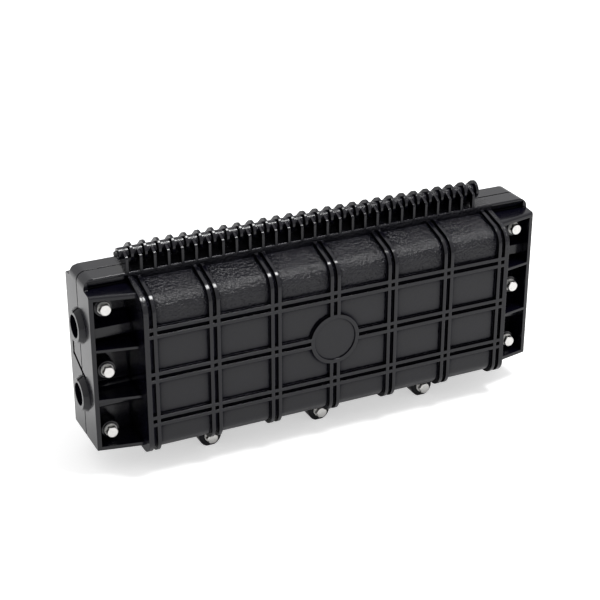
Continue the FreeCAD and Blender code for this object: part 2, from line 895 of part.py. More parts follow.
def splice_holder(side, back):
    """Slotted block that grips the splices, on a tray floor."""
    x = side * holder_pitch / 2
    level = back - tray_floor
    block = box((x - holder_length / 2, level, tray_middle - holder_width / 2),
                (x + holder_length / 2, level - holder_height, tray_middle + holder_width / 2))
    pitch = holder_width / holder_slots
    crest = level - holder_height
    half_slot = holder_slot_width / 2
    cuts = []
    for i in range(holder_slots):
        z = tray_middle + (i - (holder_slots - 1) / 2) * pitch
        cuts.append(box((x - holder_length, crest - 1, z - half_slot),
                        (x + holder_length, crest + holder_slot_depth, z + half_slot)))
    return block.cut(cuts)


def tray_cover():
    """Clear cover over the front tray."""
    sheet = plate_outline(tray_half, tray_bottom, tray_width, tray_corner)
    plate = slab(sheet, stack_front, cover_front, along_y)
    return plate.cut([rod(post_radius + post_gap, (x, stack_front + 1, z), (x, cover_front - 1, z))
                      for x, z in post_places()])


def cable_saddle(side, x, z):
    """Bent sheet saddle: a foot on the bracket and an upright with a cradle for the cable."""
    far = x + side * saddle_length / 2
    near = x - side * saddle_length / 2
    low = z - saddle_width / 2
    high = z + saddle_width / 2
    foot = box((near, bracket_front - saddle_sheet, low), (far, bracket_front, high))
    upright = box((far - side * saddle_sheet, saddle_top, low), (far, bracket_front, high))
    cradle = rod(cable_radius + saddle_cradle_gap, (far - side * 2 * saddle_sheet, 0, z), (far + side, 0, z))
    hole = rod(screw_radius + screw_gap, (x, 0, z), (x, bracket_front + 1, z))
    return foot.fuse(upright).removeSplitter().cut([cradle, hole])


def saddle_screws():
    """One screw through the foot of every saddle."""
    seat = bracket_front - saddle_sheet
    length = saddle_sheet + bracket_thickness + screw_head_height
    return Part.makeCompound([pan_screw(x, z, seat, length) for _, x, _, z in clamp_places()])


def strength_clamp(x, z):
    """Metal block with a cross bore for the cable's strength member."""
    block = box((x - clamp_length / 2, bracket_front, z - clamp_width / 2),
                (x + clamp_length / 2, bracket_front - clamp_height, z + clamp_width / 2))
    middle = bracket_front - clamp_height / 2
    bore = rod(clamp_bore, (x - clamp_length, middle, z), (x + clamp_length, middle, z))
    tapped = rod(clamp_screw_radius + screw_gap, (x, middle, z), (x, bracket_front - clamp_height - 1, z))
    return block.cut([bore, tapped])


def clamp_screws():
    """One slotted screw in every strength member clamp."""
    screws = []
    for _, _, x, z in clamp_places():
        top = bracket_front - clamp_height
        crown = top - clamp_screw_head_height
        head = rod(clamp_screw_head_radius, (x, top, z), (x, crown, z))
        slot = box((x - clamp_slot_width / 2, crown - 1, z - 2 * clamp_screw_head_radius),
                   (x + clamp_slot_width / 2, crown + clamp_slot_depth, z + 2 * clamp_screw_head_radius))
        shank = rod(clamp_screw_radius, (x, top, z), (x, top + clamp_height / 2 - clamp_bore, z))
        screws.append(head.cut(slot).fuse(shank).removeSplitter())
    return Part.makeCompound(screws)


def pieces():
    """Every piece of the closure by its node name."""
    nodes = {
        "front_shell": front_shell(),
        "rear_shell": rear_shell(),
        "hinge_pin": hinge_pin(),
        "cover_bolts": grouped(cover_bolt),
        "spring_washers": grouped(spring_washer),
        "flat_washers": grouped(flat_washer),
        "thread_inserts": grouped(thread_insert),
        "tray_bracket": tray_bracket(),
        "bracket_screws": bracket_screws(),
        "tray_posts": tray_posts(),
        "wing_nuts": wing_nuts(),
        "tray_cover": tray_cover(),
        "saddle_screws": saddle_screws(),
        "clamp_screws": clamp_screws(),
    }
    for name, strip in seal_strips().items():
        nodes[name + "_seal_strip"] = strip
    for side, end_name in zip(ends, end_names):
        for height, port_name in zip(port_heights, port_names):
            where = end_name + "_" + port_name
            nodes["port_seal_" + where] = port_seal(side, height)
            nodes["cable_saddle_" + where] = cable_saddle(side, side * saddle_x, height)
            nodes["strength_clamp_" + where] = strength_clamp(side * clamp_x, height)
    for i in range(tray_count):
        back = bracket_front - i * tray_height
        nodes["splice_tray_%d" % (i + 1)] = splice_tray(back)
        for side, end_name in zip(ends, end_names):
            nodes["splice_holder_%d_%s" % (i + 1, end_name)] = splice_holder(side, back)
    return nodes


os.makedirs("parts", exist_ok=True)
for name, shape in pieces().items():
    shape.exportStep("parts/%s.step" % name)
    print(name, len(shape.Solids), "solids", round(shape.Volume / 1000, 2), "cm3", shape.isValid())
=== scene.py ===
import bmesh
import bpy
import json
import math
from mathutils import Matrix, Vector


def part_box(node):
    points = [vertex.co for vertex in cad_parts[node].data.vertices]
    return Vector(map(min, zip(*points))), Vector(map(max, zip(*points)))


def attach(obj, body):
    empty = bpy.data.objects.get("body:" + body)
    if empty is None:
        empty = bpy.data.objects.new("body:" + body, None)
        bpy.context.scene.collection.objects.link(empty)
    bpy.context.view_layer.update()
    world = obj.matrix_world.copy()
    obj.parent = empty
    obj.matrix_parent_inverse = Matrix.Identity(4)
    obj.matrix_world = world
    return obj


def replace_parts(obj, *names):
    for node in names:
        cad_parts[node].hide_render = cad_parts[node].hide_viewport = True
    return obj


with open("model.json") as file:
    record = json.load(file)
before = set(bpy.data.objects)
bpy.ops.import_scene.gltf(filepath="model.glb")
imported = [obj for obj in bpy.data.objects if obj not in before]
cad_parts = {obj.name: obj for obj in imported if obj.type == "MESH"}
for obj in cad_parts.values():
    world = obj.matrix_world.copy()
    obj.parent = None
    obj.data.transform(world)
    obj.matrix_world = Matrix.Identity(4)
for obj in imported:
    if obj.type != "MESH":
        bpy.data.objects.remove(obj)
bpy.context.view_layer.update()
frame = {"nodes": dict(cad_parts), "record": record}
nodes = frame["nodes"]
print("frame loaded:", len(nodes), "nodes")


# small helpers for node trees

def addNode(tree, kind, place, **values):
    node = tree.nodes.new(kind)
    node.location = place
    for key, value in values.items():
        setattr(node, key, value)
    return node


def setInputs(node, **values):
    for key, value in values.items():
        node.inputs[key.replace("_", " ")].default_value = value


def startGroup(name, inputs, outputs):
    group = bpy.data.node_groups.new(name, "ShaderNodeTree")
    for label, kind, value in inputs:
        socket = group.interface.new_socket(name=label, in_out="INPUT", socket_type=kind)
        if value is not None:
            socket.default_value = value
    for label, kind in outputs:
        group.interface.new_socket(name=label, in_out="OUTPUT", socket_type=kind)
    start = addNode(group, "NodeGroupInput", (-900, 0))
    end = addNode(group, "NodeGroupOutput", (700, 0))
    return group, start, end


# moulded grain: a fine sandy texture and a slow mottling over the surface
# meanHeight is taken off, so that the grain fades out without a step
grainShape = {
    "fineDetail": 3.0, "fineRoughness": 0.6,
    "cellSmoothness": 0.6, "cellShare": 0.55, "meanHeight": 0.72,
    "patchDetail": 4.0, "patchRoughness": 0.65, "patchLow": 0.3, "patchHigh": 0.72,
}


def makeGrainGroup():
    group, start, end = startGroup("mouldedGrain", [
        ("Vector", "NodeSocketVector", None),
        ("Grain Scale", "NodeSocketFloat", 900.0),
        ("Patch Scale", "NodeSocketFloat", 40.0),
    ], [("Height", "NodeSocketFloat"), ("Mottle", "NodeSocketFloat")])
    fine = addNode(group, "ShaderNodeTexNoise", (-600, 200))
    setInputs(fine, Detail=grainShape["fineDetail"], Roughness=grainShape["fineRoughness"])
    cells = addNode(group, "ShaderNodeTexVoronoi", (-600, -60), feature="SMOOTH_F1")
    setInputs(cells, Smoothness=grainShape["cellSmoothness"])
    patch = addNode(group, "ShaderNodeTexNoise", (-600, -320))
    setInputs(patch, Detail=grainShape["patchDetail"], Roughness=grainShape["patchRoughness"])
    both = addNode(group, "ShaderNodeMath", (-300, 120), operation="MULTIPLY_ADD")
    both.inputs[1].default_value = grainShape["cellShare"]
    level = addNode(group, "ShaderNodeMath", (0, 120), operation="SUBTRACT")
    level.inputs[1].default_value = grainShape["meanHeight"]
    spread = addNode(group, "ShaderNodeMapRange", (-300, -320))
    setInputs(spread, From_Min=grainShape["patchLow"], From_Max=grainShape["patchHigh"])
    for node in (fine, cells, patch):
        group.links.new(start.outputs["Vector"], node.inputs["Vector"])
    group.links.new(start.outputs["Grain Scale"], fine.inputs["Scale"])
    group.links.new(start.outputs["Grain Scale"], cells.inputs["Scale"])
    group.links.new(start.outputs["Patch Scale"], patch.inputs["Scale"])
    group.links.new(cells.outputs["Distance"], both.inputs[0])
    group.links.new(fine.outputs["Fac"], both.inputs[2])
    group.links.new(patch.outputs["Fac"], spread.inputs["Value"])
    group.links.new(both.outputs[0], level.inputs[0])
    group.links.new(level.outputs[0], end.inputs["Height"])
    group.links.new(spread.outputs["Result"], end.inputs["Mottle"])
    return group


# softened edges: rounds the light over sharp edges, and marks edges and narrow ribs
edgeShape = {
    "roundSamples": 6, "flatDot": 0.995, "edgeDot": 0.8,
    "thickSamples": 8, "thickOpen": 0.92, "thinOpen": 0.75,
}


def makeEdgeGroup():
    group, start, end = startGroup("softEdges", [
        ("Radius", "NodeSocketFloat", 0.0006),
        ("Thickness", "NodeSocketFloat", 0.0015),
    ], [("Normal", "NodeSocketVector"), ("Edge", "NodeSocketFloat"), ("Narrow", "NodeSocketFloat")])
    flat = addNode(group, "ShaderNodeNewGeometry", (-600, -100))
    bevel = addNode(group, "ShaderNodeBevel", (-600, 200), samples=edgeShape["roundSamples"])
    dot = addNode(group, "ShaderNodeVectorMath", (-300, 200), operation="DOT_PRODUCT")
    mark = addNode(group, "ShaderNodeMapRange", (0, 200))
    setInputs(mark, From_Min=edgeShape["flatDot"], From_Max=edgeShape["edgeDot"])
    within = addNode(group, "ShaderNodeAmbientOcclusion", (-600, -300),
                     samples=edgeShape["thickSamples"], inside=True, only_local=True)
    thin = addNode(group, "ShaderNodeMapRange", (0, -300))
    setInputs(thin, From_Min=edgeShape["thickOpen"], From_Max=edgeShape["thinOpen"])
    group.links.new(start.outputs["Radius"], bevel.inputs["Radius"])
    group.links.new(start.outputs["Thickness"], within.inputs["Distance"])
    group.links.new(bevel.outputs["Normal"], dot.inputs[0])
    group.links.new(flat.outputs["True Normal"], dot.inputs[1])
    group.links.new(dot.outputs["Value"], mark.inputs["Value"])
    group.links.new(within.outputs["AO"], thin.inputs["Value"])
    group.links.new(bevel.outputs["Normal"], end.inputs["Normal"])
    group.links.new(mark.outputs["Result"], end.inputs["Edge"])
    group.links.new(thin.outputs["Result"], end.inputs["Narrow"])
    return group


# handling marks: faint streaks and smudges from use
scuffShape = {
    "stretch": (0.35, 1.0, 4.0), "turn": (0.3, 0.2, 0.5),
    "streakDetail": 6.0, "streakRoughness": 0.7, "streakLow": 0.56, "streakHigh": 0.74,
    "smudgeScale": 14.0, "smudgeDetail": 3.0, "smudgeLow": 0.35, "smudgeHigh": 0.7,
}


def makeScuffGroup():
    group, start, end = startGroup("handlingMarks", [
        ("Vector", "NodeSocketVector", None),
        ("Streak Scale", "NodeSocketFloat", 60.0),
    ], [("Streaks", "NodeSocketFloat"), ("Smudge", "NodeSocketFloat")])
    stretch = addNode(group, "ShaderNodeMapping", (-700, 150))
    setInputs(stretch, Scale=scuffShape["stretch"], Rotation=scuffShape["turn"])
    streak = addNode(group, "ShaderNodeTexNoise", (-450, 150))
    setInputs(streak, Detail=scuffShape["streakDetail"], Roughness=scuffShape["streakRoughness"])
    smudge = addNode(group, "ShaderNodeTexNoise", (-450, -150))
    setInputs(smudge, Scale=scuffShape["smudgeScale"], Detail=scuffShape["smudgeDetail"])
    thin = addNode(group, "ShaderNodeMapRange", (-150, 150))
    setInputs(thin, From_Min=scuffShape["streakLow"], From_Max=scuffShape["streakHigh"])
    soft = addNode(group, "ShaderNodeMapRange", (-150, -150))
    setInputs(soft, From_Min=scuffShape["smudgeLow"], From_Max=scuffShape["smudgeHigh"])
    group.links.new(start.outputs["Vector"], stretch.inputs["Vector"])
    group.links.new(stretch.outputs["Vector"], streak.inputs["Vector"])
    group.links.new(start.outputs["Vector"], smudge.inputs["Vector"])
    group.links.new(start.outputs["Streak Scale"], streak.inputs["Scale"])
    group.links.new(streak.outputs["Fac"], thin.inputs["Value"])
    group.links.new(smudge.outputs["Fac"], soft.inputs["Value"])
    group.links.new(thin.outputs["Result"], end.inputs["Streaks"])
    group.links.new(soft.outputs["Result"], end.inputs["Smudge"])
    return group


# painted shade in the corners: an occlusion mask that stays in the inner corners of a piece and
# darkens them
cornerShadeSamples = 8


def makeCornerShadeGroup():
    group, start, end = startGroup("cornerPaintedShade", [
        ("Reach", "NodeSocketFloat", 0.004),
        ("Clear", "NodeSocketFloat", 0.92),
        ("Full", "NodeSocketFloat", 0.5),
    ], [("PaintedShade", "NodeSocketFloat")])
    nearby = addNode(group, "ShaderNodeAmbientOcclusion", (-600, 0),
                     samples=cornerShadeSamples, only_local=True)
    shadeRamp = addNode(group, "ShaderNodeMapRange", (-200, 0))
    group.links.new(start.outputs["Reach"], nearby.inputs["Distance"])
    group.links.new(start.outputs["Clear"], shadeRamp.inputs["From Min"])
    group.links.new(start.outputs["Full"], shadeRamp.inputs["From Max"])
    group.links.new(nearby.outputs["AO"], shadeRamp.inputs["Value"])
    group.links.new(shadeRamp.outputs["Result"], end.inputs["PaintedShade"])
    return group


# the ribbed middle of the shells, where the mould is grained, against the smooth end blocks
shoulderFade = 0.012


def makeFieldGroup():
    group, start, end = startGroup("ribbedField", [
        ("Vector", "NodeSocketVector", None),
        ("End", "NodeSocketFloat", 0.19),
        ("Shoulder", "NodeSocketFloat", 0.16),
    ], [("Middle", "NodeSocketFloat"), ("Upper", "NodeSocketFloat")])
    split = addNode(group, "ShaderNodeSeparateXYZ", (-700, 0))
    along = addNode(group, "ShaderNodeMath", (-500, 150), operation="ABSOLUTE")
    inside = addNode(group, "ShaderNodeMath", (-300, 150), operation="LESS_THAN")
    rise = addNode(group, "ShaderNodeMath", (-500, -150), operation="SUBTRACT")
    ramp = addNode(group, "ShaderNodeMapRange", (-300, -150))
    setInputs(ramp, From_Min=-shoulderFade, From_Max=0.0)
    group.links.new(start.outputs["Vector"], split.inputs[0])
    group.links.new(split.outputs["X"], along.inputs[0])
    group.links.new(along.outputs[0], inside.inputs[0])
    group.links.new(start.outputs["End"], inside.inputs[1])
    group.links.new(split.outputs["Z"], rise.inputs[0])
    group.links.new(start.outputs["Shoulder"], rise.inputs[1])
    group.links.new(rise.outputs[0], ramp.inputs["Value"])
    group.links.new(inside.outputs[0], end.inputs["Middle"])
    group.links.new(ramp.outputs["Result"], end.inputs["Upper"])
    return group


grainGroup = makeGrainGroup()
edgeGroup = makeEdgeGroup()
scuffGroup = makeScuffGroup()
cornerShadeGroup = makeCornerShadeGroup()
fieldGroup = makeFieldGroup()
print("shared effects ready")


# one finish: base colour, roughness, grain and edge values come from its dictionary
streakShare = 0.4
thinnestRib = 0.0005


def makeFinish(name, look):
    material = bpy.data.materials.new(name)
    material.use_nodes = True
    tree = material.node_tree
    tree.nodes.clear()
    out = addNode(tree, "ShaderNodeOutputMaterial", (900, 0))
    shader = addNode(tree, "ShaderNodeBsdfPrincipled", (600, 0))
    tree.links.new(shader.outputs[0], out.inputs["Surface"])
    setInputs(shader, Metallic=look.get("metallic", 0.0), Alpha=look.get("alpha", 1.0),
              Specular_IOR_Level=look.get("specular", 0.5))
    coords = addNode(tree, "ShaderNodeTexCoord", (-900, 0))
    grain = addNode(tree, "ShaderNodeGroup", (-600, 200), node_tree=grainGroup)
    setInputs(grain, Grain_Scale=look["grainScale"], Patch_Scale=look["patchScale"])
    edges = addNode(tree, "ShaderNodeGroup", (-600, -200), node_tree=edgeGroup)
    setInputs(edges, Radius=look["edgeRadius"], Thickness=look.get("narrow", thinnestRib))
    marks = addNode(tree, "ShaderNodeGroup", (-600, 0), node_tree=scuffGroup)
    setInputs(marks, Streak_Scale=look["streakScale"])
    tree.links.new(coords.outputs["Object"], grain.inputs["Vector"])
    tree.links.new(coords.outputs["Object"], marks.inputs["Vector"])
    # colour: the base, mottled, with paler worn edges
    patchy = addNode(tree, "ShaderNodeMix", (-300, 260), data_type="RGBA")
    patchy.inputs["A"].default_value = (*look["dark"], 1)
    patchy.inputs["B"].default_value = (*look["light"], 1)
    worn = addNode(tree, "ShaderNodeMix", (0, 260), data_type="RGBA")
    worn.inputs["B"].default_value = (*look["worn"], 1)
    wear = addNode(tree, "ShaderNodeMath", (-300, 20), operation="MULTIPLY")
    wear.inputs[1].default_value = look["wear"]
    tree.links.new(grain.outputs["Mottle"], patchy.inputs["Factor"])
    tree.links.new(edges.outputs["Edge"], wear.inputs[0])
    tree.links.new(wear.outputs[0], worn.inputs["Factor"])
    tree.links.new(patchy.outputs["Result"], worn.inputs["A"])
    tree.links.new(worn.outputs["Result"], shader.inputs["Base Color"])
    # roughness: varies with the handling marks, smoother on narrow ribs
    rough = addNode(tree, "ShaderNodeMapRange", (0, 0))
    setInputs(rough, To_Min=look["roughLow"], To_Max=look["roughHigh"])
    blend = addNode(tree, "ShaderNodeMath", (-200, -100), operation="MULTIPLY_ADD")
    blend.inputs[1].default_value = streakShare
    tree.links.new(marks.outputs["Streaks"], blend.inputs[0])
    tree.links.new(marks.outputs["Smudge"], blend.inputs[2])
    tree.links.new(blend.outputs[0], rough.inputs["Value"])
    polish = addNode(tree, "ShaderNodeMapRange", (200, -120))
    setInputs(polish, To_Min=1.0, To_Max=look.get("polish", 1.0))
    smooth = addNode(tree, "ShaderNodeMath", (400, -60), operation="MULTIPLY")
    tree.links.new(edges.outputs["Narrow"], polish.inputs["Value"])
    tree.links.new(rough.outputs["Result"], smooth.inputs[0])
    tree.links.new(polish.outputs["Result"], smooth.inputs[1])
    tree.links.new(smooth.outputs[0], shader.inputs["Roughness"])
    # surface: grain over the softened edges, fading out on narrow ribs
    bump = addNode(tree, "ShaderNodeBump", (200, -260))
    setInputs(bump, Strength=look["bump"], Distance=look["bumpDepth"])
    plain = addNode(tree, "ShaderNodeMath", (-300, -320), operation="SUBTRACT", use_clamp=True)
    plain.inputs[0].default_value = 1.0
    relief = addNode(tree, "ShaderNodeMath", (0, -320), operation="MULTIPLY")
    tree.links.new(edges.outputs["Narrow"], plain.inputs[1])
    tree.links.new(grain.outputs["Height"], relief.inputs[0])
    tree.links.new(plain.outputs[0], relief.inputs[1])
    tree.links.new(relief.outputs[0], bump.inputs["Height"])
    # a moulded shell is grained on its ribbed middle, most on the shoulders
    # painted shade: the corner shade mask goes to Metallic, which dims the reflection of a near
    # black base
    if "field" in look:
        field = addNode(tree, "ShaderNodeGroup", (-900, -560), node_tree=fieldGroup)
        setInputs(field, End=look["field"]["end"], Shoulder=look["field"]["shoulder"])
        tree.links.new(coords.outputs["Object"], field.inputs["Vector"])
        depth = addNode(tree, "ShaderNodeMapRange", (-600, -480))
        setInputs(depth, To_Min=look["field"]["panelGrain"])
        grained = addNode(tree, "ShaderNodeMath", (-300, -480), operation="MULTIPLY")
        shared = addNode(tree, "ShaderNodeMath", (-100, -480), operation="MULTIPLY")
        tree.links.new(field.outputs["Upper"], depth.inputs["Value"])
        tree.links.new(depth.outputs["Result"], grained.inputs[0])
        tree.links.new(field.outputs["Middle"], grained.inputs[1])
        tree.links.new(plain.outputs[0], shared.inputs[0])
        tree.links.new(grained.outputs[0], shared.inputs[1])
        tree.links.new(shared.outputs[0], relief.inputs[1])
        # painted shade close to corners and rib creases, and a wider painted shade beside tall
        # walls on the ribbed middle
        near = addNode(tree, "ShaderNodeGroup", (-600, -700), node_tree=cornerShadeGroup)
        setInputs(near, **look["field"]["nearPaintedShade"])
        wide = addNode(tree, "ShaderNodeGroup", (-600, -900), node_tree=cornerShadeGroup)
        setInputs(wide, **look["field"]["widePaintedShade"])
        middle = addNode(tree, "ShaderNodeMath", (-400, -850), operation="MULTIPLY")
        either = addNode(tree, "ShaderNodeMath", (-200, -750), operation="MAXIMUM")
        shadeDimming = addNode(tree, "ShaderNodeMath", (0, -700), operation="MULTIPLY")
        shadeDimming.inputs[1].default_value = look["field"]["paintedShadeAmount"]
        tree.links.new(wide.outputs["PaintedShade"], middle.inputs[0])
        tree.links.new(field.outputs["Middle"], middle.inputs[1])
        tree.links.new(near.outputs["PaintedShade"], either.inputs[0])
        tree.links.new(middle.outputs[0], either.inputs[1])
        tree.links.new(either.outputs[0], shadeDimming.inputs[0])
        tree.links.new(shadeDimming.outputs[0], shader.inputs["Metallic"])
    tree.links.new(edges.outputs["Normal"], bump.inputs["Normal"])
    tree.links.new(bump.outputs["Normal"], shader.inputs["Normal"])
    return material


shellLook = {
    "dark": (0.0008, 0.0007, 0.0030), "light": (0.0022, 0.0020, 0.0052),
    "worn": (0.02, 0.02, 0.022), "wear": 0.4,
    "roughLow": 0.15, "roughHigh": 0.23, "specular": 0.43,
    "grainScale": 430.0, "patchScale": 55.0, "streakScale": 60.0,
    "edgeRadius": 0.0008, "bump": 1.0, "bumpDepth": 0.0013,
    "polish": 0.75, "narrow": 0.003,
    "field": {
        "end": 0.1895, "shoulder": 0.163, "panelGrain": 0.12, "paintedShadeAmount": 0.9,
        # painted corner shade, close and wide; its strength is the last value on the line above
        "nearPaintedShade": {"Reach": 0.004, "Clear": 0.92, "Full": 0.5},
        "widePaintedShade": {"Reach": 0.024, "Clear": 0.90, "Full": 0.66},
    },
}
boltLook = {
    "dark": (0.68, 0.67, 0.65), "light": (0.80, 0.79, 0.77), "worn": (0.90, 0.90, 0.88),
    "wear": 0.4, "metallic": 1.0,
    "roughLow": 0.22, "roughHigh": 0.36,
    "grainScale": 1600.0, "patchScale": 300.0, "streakScale": 400.0,
    "edgeRadius": 0.0004, "bump": 0.12, "bumpDepth": 0.0001,
}
washerLook = {
    "dark": (0.78, 0.77, 0.75), "light": (0.90, 0.89, 0.87), "worn": (0.95, 0.95, 0.93),
    "wear": 0.4, "metallic": 0.45,
    "roughLow": 0.46, "roughHigh": 0.62,
    "grainScale": 1800.0, "patchScale": 320.0, "streakScale": 420.0,
    "edgeRadius": 0.0003, "bump": 0.15, "bumpDepth": 0.0001,
}
pinLook = {
    "dark": (0.012, 0.012, 0.013), "light": (0.022, 0.022, 0.024), "worn": (0.1, 0.1, 0.1),
    "wear": 0.5,
    "roughLow": 0.3, "roughHigh": 0.45,
    "grainScale": 1500.0, "patchScale": 120.0, "streakScale": 200.0,
    "edgeRadius": 0.0005, "bump": 0.15, "bumpDepth": 0.0001,
}
saddleLook = {
    "dark": (0.46, 0.47, 0.49), "light": (0.60, 0.61, 0.63), "worn": (0.75, 0.75, 0.76),
    "wear": 0.5, "metallic": 1.0,
    "roughLow": 0.3, "roughHigh": 0.46,
    "grainScale": 900.0, "patchScale": 160.0, "streakScale": 220.0,
    "edgeRadius": 0.0003, "bump": 0.1, "bumpDepth": 0.0001,
}
bracketLook = {
    "dark": (0.60, 0.61, 0.63), "light": (0.70, 0.71, 0.73), "worn": (0.82, 0.82, 0.83),
    "wear": 0.4, "metallic": 1.0,
    "roughLow": 0.32, "roughHigh": 0.48,
    "grainScale": 700.0, "patchScale": 60.0, "streakScale": 120.0,
    "edgeRadius": 0.0003, "bump": 0.08, "bumpDepth": 0.0001,
}
brassLook = {
    "dark": (0.55, 0.38, 0.14), "light": (0.70, 0.50, 0.20), "worn": (0.85, 0.66, 0.32),
    "wear": 0.5, "metallic": 1.0,
    "roughLow": 0.24, "roughHigh": 0.4,
    "grainScale": 1200.0, "patchScale": 200.0, "streakScale": 300.0,
    "edgeRadius": 0.0003, "bump": 0.1, "bumpDepth": 0.0001,
}
rubberLook = {
    "dark": (0.016, 0.016, 0.016), "light": (0.028, 0.028, 0.028), "worn": (0.06, 0.06, 0.06),
    "wear": 0.3,
    "roughLow": 0.6, "roughHigh": 0.78,
    "grainScale": 1400.0, "patchScale": 90.0, "streakScale": 100.0,
    "edgeRadius": 0.0005, "bump": 0.3, "bumpDepth": 0.0002,
}
trayLook = {
    "dark": (0.62, 0.62, 0.59), "light": (0.70, 0.70, 0.67), "worn": (0.8, 0.8, 0.78),
    "wear": 0.3,
    "roughLow": 0.3, "roughHigh": 0.42,
    "grainScale": 900.0, "patchScale": 40.0, "streakScale": 70.0,
    "edgeRadius": 0.0004, "bump": 0.06, "bumpDepth": 0.0002,
}
holderLook = {
    "dark": (0.03, 0.10, 0.26), "light": (0.05, 0.14, 0.33), "worn": (0.2, 0.3, 0.5),
    "wear": 0.3,
    "roughLow": 0.4, "roughHigh": 0.55,
    "grainScale": 1000.0, "patchScale": 100.0, "streakScale": 90.0,
    "edgeRadius": 0.0003, "bump": 0.12, "bumpDepth": 0.0002,
}
coverLook = {
    "dark": (0.86, 0.90, 0.92), "light": (0.92, 0.95, 0.96), "worn": (1.0, 1.0, 1.0),
    "wear": 0.2, "alpha": 0.22,
    "roughLow": 0.1, "roughHigh": 0.2,
    "grainScale": 600.0, "patchScale": 30.0, "streakScale": 90.0,
    "edgeRadius": 0.0003, "bump": 0.03, "bumpDepth": 0.0001,
}
finishes = {
    "shell": makeFinish("grainedShell", shellLook),
    "bolt_steel": makeFinish("brightBolt", boltLook),
    "pin_steel": makeFinish("blackPin", pinLook),
    "saddle_steel": makeFinish("zincSaddle", saddleLook),
    "bracket_aluminium": makeFinish("millBracket", bracketLook),
    "insert_brass": makeFinish("turnedInsert", brassLook),
    "clamp_brass": makeFinish("brassClamp", brassLook),
    "seal_rubber": makeFinish("softSeal", rubberLook),
    "tray_plastic": makeFinish("ivoryTray", trayLook),
    "holder_plastic": makeFinish("blueHolder", holderLook),
    "cover_plastic": makeFinish("clearCover", coverLook),
}
washerFinish = makeFinish("zincWasher", washerLook)
washerNodes = ("flat_washers", "spring_washers")
slotOf = {part["node"]: part["material_slot"] for part in frame["record"]["subparts"]}
for name, piece in nodes.items():
    finish = washerFinish if name in washerNodes else finishes[slotOf[name]]
    piece.data.materials.clear()
    piece.data.materials.append(finish)
print("finishes assigned:", len(finishes) + 1)


# turns a finished bmesh into a piece that rides on a body
sharpAngle = math.radians(35)


def keepPiece(name, bm, body, slot):
    bmesh.ops.recalc_face_normals(bm, faces=bm.faces)
    for face in bm.faces:
        face.smooth = True
    mesh = bpy.data.meshes.new(name)
    bm.to_mesh(mesh)
    bm.free()
    mesh.set_sharp_from_angle(angle=sharpAngle)
    piece = bpy.data.objects.new(name, mesh)
    bpy.context.scene.collection.objects.link(piece)
    piece.data.materials.append(finishes[slot])
    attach(piece, body)
    return piece


# rolled threads on the ends of the cover bolts and of the tray posts
boltThread = {
    "ends": (-0.2138, 0.2138), "levels": (0.042, 0.104, 0.166),
    "lugs": (-0.1154, 0.0, 0.1154), "lugLevel": 0.0106, "start": -0.004,
    "turns": 5.5, "pitch": 0.001, "foot": 0.45, "root": 0.00235, "crest": 0.00275, "steps": 18,
}
postThread = {
    "headRadius": 0.0042,
    "turns": 2.5, "pitch": 0.0008, "foot": 0.45, "root": 0.0024, "crest": 0.0028, "steps": 18,
}


def windThread(bm, place, thread):
    x, y, z = place
    half = thread["pitch"] * thread["foot"]
    profile = ((thread["root"], -half), (thread["crest"], 0), (thread["root"], half))
    corners = [bm.verts.new((x + out, y + along, z)) for out, along in profile]
    ridge = bm.faces.new(corners)
    bmesh.ops.spin(bm, geom=[ridge, *ridge.edges, *corners], cent=place, axis=(0, 1, 0),
                   dvec=(0, thread["pitch"] / thread["steps"], 0),
                   angle=2 * math.pi * thread["turns"],
                   steps=round(thread["steps"] * thread["turns"]))
    if not any(set(face.verts) == set(corners) for face in corners[0].link_faces):
        bm.faces.new(corners)


def makeThreads():
    bm = bmesh.new()
    places = [(x, z) for x in boltThread["ends"] for z in boltThread["levels"]]
    places += [(x, boltThread["lugLevel"]) for x in boltThread["lugs"]]
    for x, z in places:
        windThread(bm, (x, boltThread["start"], z), boltThread)
    keepPiece("boltThreads", bm, "front_half", "bolt_steel")
    low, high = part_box("tray_posts")
    bm = bmesh.new()
    for x in (low[0] + postThread["headRadius"], high[0] - postThread["headRadius"]):
        windThread(bm, (x, low[1] + postThread["pitch"] / 2, (low[2] + high[2]) / 2), postThread)
    keepPiece("postThreads", bm, "rear_half", "bolt_steel")


# pan-head screws with a cross recess
crossScrew = {
    "headRadius": 0.0036, "headHeight": 0.0024, "headRound": 0.0008, "shankRadius": 0.002,
    "crossSpan": 0.0042, "crossDepth": 0.0013, "crossTaper": 0.72, "crossCells": 3,
    "segments": 24, "roundSteps": 4,
}


def pickVerts(items):
    return [item for item in items if isinstance(item, bmesh.types.BMVert)]


